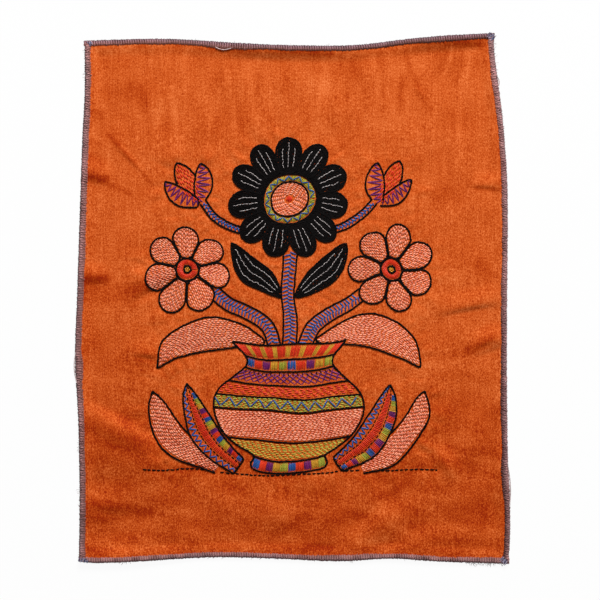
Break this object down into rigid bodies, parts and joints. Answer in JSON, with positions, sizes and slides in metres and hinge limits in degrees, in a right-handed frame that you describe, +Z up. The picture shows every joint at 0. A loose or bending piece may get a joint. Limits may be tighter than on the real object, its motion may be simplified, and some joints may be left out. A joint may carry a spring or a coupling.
{
  "type": "embroidered panel",
  "caption": "Flat rectangular cotton panel with an overlocked edge and hand embroidery of a potted flowering plant, lying with soft folds.",
  "frame": {"origin": "on the resting plane, under the middle of the panel's outline", "axes": "+Z up out of the embroidered face; +Y towards the top edge of the panel; +X to its right"},
  "size_m": [0.3654, 0.4458, 0.0044],
  "materials": {
    "ground_cloth": "satin",
    "overlock_thread": "matte",
    "salmon_floss": "satin",
    "black_floss": "satin",
    "grey_floss": "satin",
    "red_floss": "satin",
    "blue_floss": "satin",
    "purple_floss": "satin",
    "lime_floss": "satin",
    "ochre_floss": "satin"
  },
  "bodies": {
    "root": {"cloth": "ground_cloth", "overlock_bottom": "overlock_thread", "overlock_right": "overlock_thread", "overlock_top": "overlock_thread", "overlock_left": "overlock_thread"}
  },
  "joints": []
}
